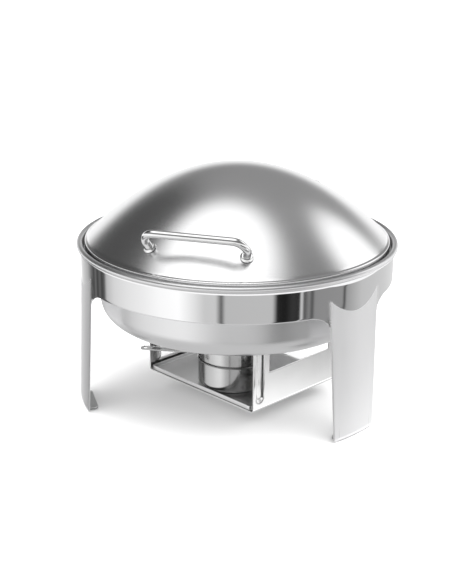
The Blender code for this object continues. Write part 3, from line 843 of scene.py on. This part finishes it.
for first, second, (x0, z0), (x1, z1) in zip(rows, rows[1:], strap_line, strap_line[1:]):
    window_half, window_low = [pair[x0 > 0] for pair in (window_halves, window_lows)]
    on_wall = all(abs(abs(x) - wall) < wall_slack for x in (x0, x1))
    in_window = on_wall and window_low < (z0 + z1) / 2 < window_high
    for index in range(len(depths) - 1):
        if in_window and abs(depths[index] + depths[index + 1]) / 2 < window_half:
            continue
        shape.faces.new((first[index], first[index + 1], second[index + 1], second[index]))
bmesh.ops.delete(shape, geom=[v for v in shape.verts if not v.link_faces], context="VERTS")
bracket = linked("bracket_strap", shape, polished_strap)
thicken(bracket, strap, 0, 0.00025)
stands_for(stood(bracket, bracket_at, bracket_turn), "water_pan", "polished_steel", "burner_bracket")


# Bracket studs and nuts -----------------------------------------------------------------------
# Four plated M5 studs, stud-welded under the water pan, each with a hexagon nut below the flange.


def plated_wear(begin, place, roughness):
    """Bright zinc plate, a little cloudy, duller on its turned edges."""
    cloud = noise(begin, place, 180, 3)
    return cloud, roughness + cloud * 0.2, cloud, 0.15, 0.0002


plated_steel = metal("plated_steel", (0.62, 0.62, 0.63), 0.24, plated_wear)
stud_radius = 0.0024
thread_pitch = 0.0008
thread_deep = 0.0004
stud_chamfer = 0.0006


def stud_outline(low, high):
    """A threaded stud: a chamfered end and one ring for each turn of the thread."""
    found = [(0, low), (stud_radius - stud_chamfer, low)]
    found.append((stud_radius - stud_chamfer / 2, low + stud_chamfer / 2))
    level = low + stud_chamfer
    while level + thread_pitch < high:
        found += [(stud_radius, level), (stud_radius - thread_deep, level + thread_pitch / 2)]
        level += thread_pitch
    return found + [(stud_radius, high), (0, high)]


def placed(made, place, up=Vector((0, 0, 1))):
    """Bakes a lean from upright to this direction, and the place, into the piece's mesh."""
    lean = up.to_track_quat("Z", "Y").to_matrix().to_4x4()
    made.data.transform(Matrix.Translation(place) @ lean)
    return made


def nut_tree():
    """Puts a copy of the nut on every point, by Instance on Points."""
    made = bpy.data.node_groups.new("nuts", "GeometryNodeTree")
    face = made.interface
    kinds = {"Places": "Geometry", "Nut": "Object", "Coat": "Material"}
    for name, kind in kinds.items():
        face.new_socket(name, in_out="INPUT", socket_type="NodeSocket" + kind)
    face.new_socket("Piece", in_out="OUTPUT", socket_type="NodeSocketGeometry")
    start = Field(made, None)
    into = made.nodes.new("NodeGroupInput")
    places, nut, coat = [Field(made, socket) for socket in into.outputs[:3]]
    settings = {"transform_space": "ORIGINAL"}
    whole = start.make("GeometryNodeObjectInfo", settings, {"Object": nut}, "Geometry")
    points = start.make("GeometryNodeMeshToPoints", None, {"Mesh": places})
    sockets = {"Points": points, "Instance": whole}
    copies = start.make("GeometryNodeInstanceOnPoints", None, sockets)
    real = start.make("GeometryNodeRealizeInstances", None, {"Geometry": copies})
    done = start.make("GeometryNodeSetMaterial", None, {"Geometry": real, "Material": coat})
    made.links.new(done.socket, made.nodes.new("NodeGroupOutput").inputs[0])
    return made


nut_set = nut_tree()
nut_columns = 24
nut_face = 0.96
nut_chamfer = 0.0585


def hexagon_nut(across, tall, bore):
    """One nut with a bore, standing on z = 0, its corners turned off at both faces."""
    shape = bmesh.new()
    face_radius = across / 2 * nut_face
    chamfer = across * nut_chamfer
    profile = (
        (bore, 0.0), (face_radius, 0.0), (None, chamfer),
        (None, tall - chamfer), (face_radius, tall), (bore, tall),
    )
    rings = []
    for radius, level in profile:
        ring = []
        for step in range(nut_columns):
            angle = 2 * pi * step / nut_columns
            off_flat = (angle + pi / 6) % (pi / 3) - pi / 6
            reach = radius or across / 2 / cos(off_flat)
            ring.append(shape.verts.new((reach * cos(angle), reach * sin(angle), level)))
        rings.append(ring)
    for first, second in zip(rings, rings[1:] + rings[:1]):
        for step in range(nut_columns):
            after = (step + 1) % nut_columns
            shape.faces.new((first[step], first[after], second[after], second[step]))
    bmesh.ops.recalc_face_normals(shape, faces=shape.faces)
    mesh = bpy.data.meshes.new("nut_pattern")
    shape.to_mesh(mesh)
    shape.free()
    return bpy.data.objects.new("nut_pattern", mesh)


nut_across = 0.0080
nut_tall = 0.0040
nut_play = 0.0004
nut_pattern = hexagon_nut(nut_across, nut_tall, stud_radius + nut_play)
points = []
for number in range(1, 5):
    stud_low, stud_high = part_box(f"bracket_stud_{number}")
    middle = (stud_low + stud_high) / 2
    stud = turned(f"threaded_stud_{number}", stud_outline(0, stud_high.z - stud_low.z), plated_steel, 24)
    placed(stud, (middle.x, middle.y, stud_low.z))
    stands_for(stud, "water_pan", "satin_steel", f"bracket_stud_{number}")
    nut_low, nut_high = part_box(f"bracket_nut_{number}")
    points.append((*((nut_low + nut_high) / 2).xy, nut_low.z))
mesh = bpy.data.meshes.new("bracket_nuts")
mesh.from_pydata(points, [], [])
nuts = grown("bracket_nuts", mesh, nut_set, plated_steel, {"Nut": nut_pattern})
stands_for(nuts, "water_pan", "satin_steel", *[f"bracket_nut_{number}" for number in range(1, 5)])


# Food pan -------------------------------------------------------------------------------------
# Shallow pan of 1 mm stainless steel that hangs in the water pan by its flat flange.

food_low, food_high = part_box("food_pan")
food_radius = 0.161
food_draft = 0.004
food_corner = 0.015
flange_radius = food_high.x
flange_level = food_high.z - pan_sheet / 2
food_floor = food_low.z + pan_sheet / 2
base = food_radius - food_draft
line = bent([
    (0, food_floor, 0), (base, food_floor, food_corner), (food_radius + 0.0004, flange_level, 0.003),
    (flange_radius - pan_sheet / 2, flange_level, 0),
], 10)
food = turned("food_pan_drawn", walled(line, pan_sheet), satin_pan)
stands_for(food, "food_pan", "satin_steel", "food_pan")


# Lid ------------------------------------------------------------------------------------------
# One disc of 1 mm stainless steel spun to a shallow dome and satin-finished on the lathe. A crease
# parts the dome from a sloping shoulder, and the edge is turned down on to the food pan.


def lid_wear(begin, place, roughness):
    """The lathe's fine rings, bright along the crease and the shoulder, with a soft haze."""
    fine = turned_grain(begin, place)
    cloud = noise(begin, place, 7, 2)
    speck = noise(begin, place, 500, 3)
    parts = begin.make("ShaderNodeSeparateXYZ", None, {"Vector": place})
    level = Field(begin.tree, parts.socket.node.outputs["Z"])
    shoulder = 1 - level.rise(dome_base + 0.0005, dome_base + 0.0035)
    rough = (roughness + fine * 0.05 + speck * 0.05 + cloud * 0.03).blend(0.14, shoulder)
    return cloud, rough, fine * 0.6 + speck * 0.4, 0.06, 0.0006


lid_sheet = 0.0010
lid_low, lid_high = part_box("lid_dome")
facet_loss = 0.00002
edge_radius = lid_high.x + facet_loss - lid_sheet / 2
lid_edge = 0.0075
shoulder_rise = 0.0012
shoulder_width = 0.0031
edge_top = lid_low.z + lid_edge
dome_base = edge_top + shoulder_rise
dome_radius = edge_radius - shoulder_width
dome_height = 0.0863
satin_lid = metal("satin_lid", (0.84, 0.84, 0.845), 0.17, lid_wear)


def dome_level(radius):
    """Height of the dome's middle surface at this radius."""
    return dome_base + dome_height * (1 - (radius / dome_radius) ** 2)


dome_steps = 60
reaches = [dome_radius * step / dome_steps for step in range(dome_steps)]
line = [(reach, dome_level(reach)) for reach in reaches]
line += bent([
    (*line[-1], 0), (dome_radius, dome_base, 0.0006), (edge_radius - 0.0001, edge_top, 0.0016),
    (edge_radius, lid_low.z, 0),
], 6)[1:]
lid = turned("lid_spun", walled(line, lid_sheet), satin_lid, 320)
stands_for(lid, "lid", "satin_steel", "lid_dome")


# Lid handle -----------------------------------------------------------------------------------
# A bent 9 mm polished bar. Each end is turned down to a stud, goes through a tapered ferrule and
# the dome, and is held by a nut inside.


def rod_wear(begin, place, roughness):
    """Buffed bar: faint rings from the wheel and a few hairlines."""
    grain = noise(begin, place, 320, 2, (0.15, 1, 1))
    cloud = noise(begin, place, 40, 2)
    return cloud, roughness + grain * 0.06 + cloud * 0.05, grain * 0.4 + cloud * 0.3, 0.08, 0.0005


polished_rod = metal("polished_rod", (0.84, 0.84, 0.84), 0.08, rod_wear)


def bent_rod(name, path, coat, sides=28):
    """A round bar along a path of points and radii, with flat ends."""
    shape = bmesh.new()
    points = [point for point, radius in path]
    neighbours = zip(points[:1] + points[:-1], points[1:] + points[-1:])
    heads = [(after - before).normalized() for before, after in neighbours]
    across = heads[0].orthogonal().normalized()
    rings = []
    for (point, radius), head in zip(path, heads):
        across = (across - head * across.dot(head)).normalized()
        other = head.cross(across)
        ring = []
        for side in range(sides):
            angle = 2 * pi * side / sides
            ring.append(shape.verts.new(point + (across * cos(angle) + other * sin(angle)) * radius))
        rings.append(ring)
    for first, second in zip(rings, rings[1:]):
        for side in range(sides):
            after = (side + 1) % sides
            shape.faces.new((first[side], first[after], second[after], second[side]))
    for ring, point in ((rings[0], path[0][0]), (rings[-1], path[-1][0])):
        middle = shape.verts.new(point)
        for side in range(sides):
            shape.faces.new((middle, ring[side], ring[(side + 1) % sides]))
    bmesh.ops.recalc_face_normals(shape, faces=shape.faces)
    return sharpen(linked(name, shape, coat))


bar_radius = 0.0045
handle_turn = radians(-2)
foot_radius = 0.159
foot_half = 0.056
handle_reach = 0.030
handle_knee = 0.013
knee_steps = 24
bar_half = 0.044
handle_stud = 0.0024
stud_length = 0.0095
ferrule_height = 0.0030
ferrule_radius = 0.0075
slack = 0.0003
tip_share = 0.7
tip_chamfer = 0.0006
neck = 0.0001
shoulder_share = 0.93
shoulder_chamfer = 0.0004
slope = 2 * dome_height * foot_radius / dome_radius**2


def dome_normal(azimuth):
    """The direction that stands square on the dome, at the radius of the handle's feet."""
    return polar(slope, azimuth, 1.0).normalized()


foot_turn = asin(foot_half / foot_radius)
angles = [handle_turn - foot_turn, handle_turn + foot_turn]
feet = [(polar(foot_radius, a, dome_level(foot_radius)), dome_normal(a)) for a in angles]
lean = dome_normal(handle_turn)
along = polar(1, handle_turn + pi / 2)
bar = polar(sqrt(foot_radius**2 - foot_half**2), handle_turn) + lean * handle_reach
bar += Vector((0, 0, dome_level(foot_radius)))
path = []
for side, (foot, normal) in zip((-1, 1), feet):
    shoulder = foot + normal * (lid_sheet / 2 + ferrule_height + 3 * slack)
    tip = foot - normal * (stud_length - ferrule_height)
    knee = foot + normal * handle_knee
    end = bar + along * side * bar_half
    bend = bar + along * side * foot_half
    half = [(tip, handle_stud * tip_share), (tip + normal * tip_chamfer, handle_stud)]
    half += [(shoulder - normal * neck, handle_stud), (shoulder, bar_radius * shoulder_share)]
    half += [(shoulder + normal * shoulder_chamfer, bar_radius)]
    half += [(shoulder + (knee - shoulder) * step / 6, bar_radius) for step in range(1, 6)]
    for step in range(knee_steps + 1):
        t = step / knee_steps
        point = knee * (1 - t) ** 2 + bend * 2 * t * (1 - t) + end * t**2
        half.append((point, bar_radius))
    path += half if side < 0 else half[::-1]
handle = bent_rod("handle_bar", path, polished_rod, 32)
stands_for(handle, "lid", "polished_steel", "lid_handle")
bore = handle_stud + nut_play
outline = bent([
    (bore, 0, 0), (ferrule_radius, 0, 0.0002), (ferrule_radius, 0.0010, 0.0004),
    (ferrule_radius - 0.0018, ferrule_height, 0.0005), (bore, ferrule_height, 0),
], 4)
for number, (foot, normal) in enumerate(feet, 1):
    ferrule = turned(f"foot_ferrule_{number}", outline, polished_rod, 48)
    placed(ferrule, foot + normal * (lid_sheet / 2 + 2 * slack), normal)
    stands_for(ferrule, "lid", "polished_steel", f"handle_ferrule_{number}")
    mesh = bpy.data.meshes.new(f"inside_nut_{number}")
    mesh.from_pydata([(0, 0, 0)], [], [])
    nut = grown(f"inside_nut_{number}", mesh, nut_set, plated_steel, {"Nut": nut_pattern})
    placed(nut, foot - normal * (lid_sheet / 2 + 3 * slack), -normal)
    stands_for(nut, "lid", "satin_steel", f"handle_nut_{number}")


# Lid holder -----------------------------------------------------------------------------------
# A loop of 4 mm polished wire behind the lid, which follows the rim. Its ends drop into two blocks
# welded on the band.

wire = 0.0020
holder_gap = 0.0012
holder_radius = rim_radius + holder_gap + wire
holder_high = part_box("lid_holder")[1].z - wire
socket_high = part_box("holder_socket_1")[1]
holder_half = 0.070
socket_deep = 0.018
half = holder_radius * asin(holder_half / holder_radius)
bore_floor = socket_high.z - socket_deep
holder_bend = 0.012
bend_level = holder_high - holder_bend
line = [(-half, bore_floor + slack)]
line += [(-half, bore_floor + (bend_level - bore_floor) * step / 8) for step in range(1, 8)]
for step in range(9):
    angle = radians(180 - 90 * step / 8)
    x = holder_bend - half + holder_bend * cos(angle)
    line.append((x, bend_level + holder_bend * sin(angle)))
line += [((holder_bend - half) * (1 - step / 14), holder_high) for step in range(1, 14)]
line += [(0, holder_high)] + [(-x, z) for x, z in line[::-1]]
path = [(polar(holder_radius, pi + x / holder_radius, z), wire) for x, z in line]
holder = bent_rod("holder_wire", path, polished_rod, 20)
stands_for(holder, "lid_holder", "polished_steel", "lid_holder")
for node in ("holder_socket_1", "holder_socket_2"):
    bpy.data.objects[node].material_slots[0].material = polished_strap


# Burner tray ----------------------------------------------------------------------------------
# A 1 mm sheet on the bracket's floor that slides out with the burner. Its front and sides are
# turned up 6 mm, with open notches at the corners; the back stays flat.

tray_low, tray_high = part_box("burner_tray")
tray_sheet = 0.0010
tray_play = 0.003
tray_half = half_width - strap - tray_play - slack
tray_back = half_depth - tray_sheet
tray_bend = 0.0014
floor_steps = 24


def tray_wear(begin, place, roughness):
    """Rolled sheet with soot haze in the middle and fine scratches from the burner's base."""
    grain = noise(begin, place, 200, 2, (1, 0.06, 1))
    cloud = noise(begin, place, 18, 3)
    return cloud, roughness + grain * 0.10 + cloud * 0.08, grain, 0.10, 0.0006


tray_steel = metal("tray_steel", (0.74, 0.74, 0.74), 0.24, tray_wear)


def lip_line(edge, level, high):
    """From the top of a turned-up lip down round its bend to the flat floor."""
    found = [(edge, high), (edge, (high + level + tray_bend) / 2)]
    for step in range(5):
        angle = pi / 2 * step / 4
        found.append((edge - tray_bend * (1 - cos(angle)), level + tray_bend * (1 - sin(angle))))
    return found


floor_mid = tray_low.z + tray_sheet / 2
lip_top = tray_high.z
side_edge = tray_half - tray_sheet / 2
front_edge = half_depth - tray_sheet / 2
across_line = [(-x, z) for x, z in lip_line(side_edge, floor_mid, lip_top)]
inner = side_edge - tray_bend
across_line += [(inner * (2 * step / floor_steps - 1), floor_mid) for step in range(1, floor_steps)]
across_line += lip_line(side_edge, floor_mid, lip_top)[::-1]
front_line = [(-y, z) for y, z in lip_line(front_edge, floor_mid, lip_top)]
inner = front_edge - tray_bend
row_step = (tray_back + inner) / floor_steps
front_line += [(row_step * step - inner, floor_mid) for step in range(1, floor_steps + 1)]
shape = bmesh.new()
lip_count = len(lip_line(side_edge, floor_mid, lip_top))
grid = []
for row, (y, rise) in enumerate(front_line):
    grid.append([])
    for column, (x, level) in enumerate(across_line):
        on_side = column < lip_count - 1 or column > len(across_line) - lip_count
        notched = on_side and row < lip_count - 1
        grid[-1].append(None if notched else shape.verts.new((x, y, max(level, rise))))
for row, after in zip(grid, grid[1:]):
    for column in range(len(across_line) - 1):
        corners = (row[column], row[column + 1], after[column + 1], after[column])
        if all(corners):
            shape.faces.new(corners)
tray = thicken(linked("tray_folded", shape, tray_steel), tray_sheet, 0, 0.0002)
stands_for(stood(tray, bracket_at, bracket_turn), "tray", "satin_steel", "burner_tray")


# Burner ---------------------------------------------------------------------------------------
# A drawn cup with a pressed-on cover, both of 0.8 mm polished steel. The seam shows as a bead, and
# the cup's base is stepped in. The tin of gel fuel stands inside, under the mouth.


def burner_wear(begin, place, roughness):
    """Polished drawn steel with faint heat haze near the top and rings from the press."""
    fine = turned_grain(begin, place)
    cloud = noise(begin, place, 35, 3)
    return cloud, roughness + cloud * 0.06 + fine * 0.03, cloud * 0.4 + fine * 0.1, 0.08, 0.0008


burner_steel = metal("burner_steel", (0.60, 0.60, 0.60), 0.12, burner_wear)
burner_sheet = 0.0008
cup_low, cup_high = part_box("burner_cup")
burner_at = Vector(((cup_low.x + cup_high.x) / 2, (cup_low.y + cup_high.y) / 2, 0))
burner_radius = 0.043
cover_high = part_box("burner_cover")[1].z
cup_height = 0.035
seam = cup_low.z + cup_height
wall = burner_radius - burner_sheet / 2
lap = 2 * burner_sheet
low = cup_low.z + burner_sheet / 2
line = bent([
    (0, low, 0), (wall - 0.0045, low, 0.0008), (wall - 0.0040, low + 0.0022, 0.0006),
    (wall, low + 0.0040, 0.0012), (wall, seam - 0.0018, 0.0006),
    (wall + burner_sheet, seam - burner_sheet, 0),
], 5)
cup = turned("cup_drawn", walled(line, burner_sheet), burner_steel, 160)
stands_for(placed(cup, burner_at), "burner", "polished_steel", "burner_cup")
skirt = wall - burner_sheet - 2 * slack
roof = cover_high - burner_sheet / 2
mouth = 0.022
line = bent([
    (skirt, seam - 0.006, 0), (skirt, seam + burner_sheet, 0.0004), (wall, seam + lap, 0.0004),
    (wall, roof, 0.0028), (mouth + 0.0012, roof, 0.0008), (mouth, roof - lap, 0),
], 6)
cover = turned("cover_pressed", walled(line, burner_sheet), burner_steel, 160)
stands_for(placed(cover, burner_at), "burner", "polished_steel", "burner_cover")


# Fuel tin -------------------------------------------------------------------------------------
# A standard 200 g tinplate can with a rolled seam, open at the top, filled with blue alcohol gel.


def tin_wear(begin, place, roughness):
    """Tinplate: crystalline spangle and dull rings."""
    cloud = noise(begin, place, 120, 3)
    return cloud, roughness + cloud * 0.2, turned_grain(begin, place), 0.1, 0.0004


def gel_wear(begin, place, roughness):
    """Set gel with a slightly lumpy top."""
    cloud = noise(begin, place, 90, 3)
    return cloud, roughness + cloud * 0.1, cloud, 0.4, 0.0012


tinplate = metal("tinplate", (0.62, 0.61, 0.58), 0.26, tin_wear)
fuel_blue = dull(metal("fuel_blue", (0.42, 0.52, 0.80), 0.12, gel_wear))
fuel_blue.node_tree.nodes["Principled BSDF"].inputs["Coat Weight"].default_value = 0.6
can_low, can_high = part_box("fuel_can")
can_sheet = 0.0006
can_radius = 0.0370
can_wall = can_radius - can_sheet / 2
low = can_low.z + can_sheet / 2
top = can_high.z - can_sheet / 2
line = bent([
    (0, low + 0.0006, 0), (can_wall - 0.0030, low + 0.0006, 0.0004), (can_wall - 0.0022, low, 0.0005),
    (can_wall, low + 0.0004, 0.0006), (can_wall, top - 0.0012, 0.0006),
    (can_wall - 0.0014, top - 0.0006, 0.0005), (mouth + 0.0016, top - 0.0008, 0.0006), (mouth, top, 0),
], 4)
can = turned("tin_can", walled(line, can_sheet), tinplate, 96)
stands_for(placed(can, burner_at), "burner", "tinplate", "fuel_can")
gel_low, gel_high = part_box("fuel_gel")
fill = (gel_high.x - gel_low.x) / 2
gel_dip = 0.0012
gel_top = gel_high.z - gel_dip
line = [(0, gel_low.z), (fill, gel_low.z), (fill, gel_high.z), (fill - gel_dip, gel_high.z - 0.0009)]
line += [(fill * share, gel_top) for share in (0.8, 0.5, 0.2)]
gel = turned("gel_fill", line + [(0, gel_top)], fuel_blue, 96)
stands_for(placed(gel, burner_at), "burner", "fuel_gel", "fuel_gel")


# Burner handle --------------------------------------------------------------------------------
# A flat 1.5 mm strip with a hanging hole in its round end, spot-welded to the cover by its lug.

handle_azimuth = radians(-82.5)
strip_half = 0.006
strip_low, strip_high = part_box("burner_handle")
lug_sheet = 0.0006
start_at = burner_radius + lug_sheet + 2 * slack
strip_reach = 0.1156
strip_hole = 0.003
tip_at = strip_reach - strip_half
outline = [(start_at, -strip_half)]
for angle in [radians(a) for a in range(-90, 91, 10)]:
    outline.append((tip_at + strip_half * cos(angle), strip_half * sin(angle)))
outline += [(start_at, strip_half)]
strip_sheet = strip_high.z - strip_low.z
holes = [(tip_at, 0, strip_hole)]
strip = plate("handle_strip", outline, 0.0, strip_sheet, burner_steel, holes)
stood(strip, (burner_at.x, burner_at.y, strip_low.z), handle_azimuth - pi / 2)
stands_for(strip, "burner", "polished_steel", "burner_handle")
bpy.data.objects["handle_lug"].material_slots[0].material = burner_steel


# Snuffer --------------------------------------------------------------------------------------
# A 1.2 mm disc with an ear, which turns on a rivet in the cover to open or close the mouth. It is
# pushed by a small black plastic knob.


def plastic_wear(begin, place, roughness):
    """Moulded black plastic with a fine spark-eroded grain."""
    grain = noise(begin, place, 700, 3)
    return grain, roughness + grain * 0.1, grain, 0.2, 0.0002


black_plastic = dull(metal("black_plastic", (0.03, 0.03, 0.03), 0.35, plastic_wear))
pin_low, pin_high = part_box("snuffer_pin")
plate_low, plate_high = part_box("snuffer_plate")
pivot = Vector(((pin_low.x + pin_high.x) / 2, (pin_low.y + pin_high.y) / 2, 0))
disc = mouth + 0.003
ear = 0.006
pin_radius = 0.0020
pin_play = 0.0004
pivot_out = burner_radius - 0.009
tangent = 90 - degrees(asin((disc - ear) / pivot_out))
outline = []
for centre, radius, first, last, count in (
    (-pivot_out, disc, tangent, 360 - tangent, 56), (0, ear, -tangent, tangent, 14),
):
    for step in range(count + 1):
        angle = radians(first + (last - first) * step / count)
        outline.append((centre + radius * cos(angle), radius * sin(angle)))
snuffer_turn = radians(150) - pi / 2 + radians(95)
plate_sheet = plate_high.z - plate_low.z
holes = [(0, 0, pin_radius + pin_play)]
swing = plate("snuffer_disc", outline, 0.0, plate_sheet, burner_steel, holes)
stood(swing, (pivot.x, pivot.y, plate_low.z), snuffer_turn)
stands_for(swing, "snuffer", "polished_steel", "snuffer_plate")
head = plate_high.z - pin_low.z + slack
line = [(0, 0), (pin_radius, 0), (pin_radius, head), (2 * pin_radius, head)]
dome = pin_high.z - pin_low.z - head
line += [(2 * pin_radius * cos(radians(a)), head + dome * sin(radians(a))) for a in range(10, 90, 10)]
pin = turned("pivot_rivet", line + [(0, head + dome)], plated_steel, 32)
stands_for(placed(pin, (pivot.x, pivot.y, pin_low.z)), "burner", "polished_steel", "snuffer_pin")
knob_low, knob_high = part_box("snuffer_knob")
knob_radius = (knob_high.x - knob_low.x) / 2
knob_tall = knob_high.z - knob_low.z
outline = bent([
    (0, 0, 0), (0.0030, 0, 0), (0.0026, knob_tall * 0.3, 0.0006), (knob_radius, knob_tall * 0.5, 0.0005),
    (knob_radius, knob_tall, 0.0009), (0, knob_tall, 0),
], 5)
knob = turned("push_knob", outline, black_plastic, 40)
placed(knob, ((knob_low.x + knob_high.x) / 2, (knob_low.y + knob_high.y) / 2, knob_low.z))
stands_for(knob, "snuffer", "black_plastic", "snuffer_knob")
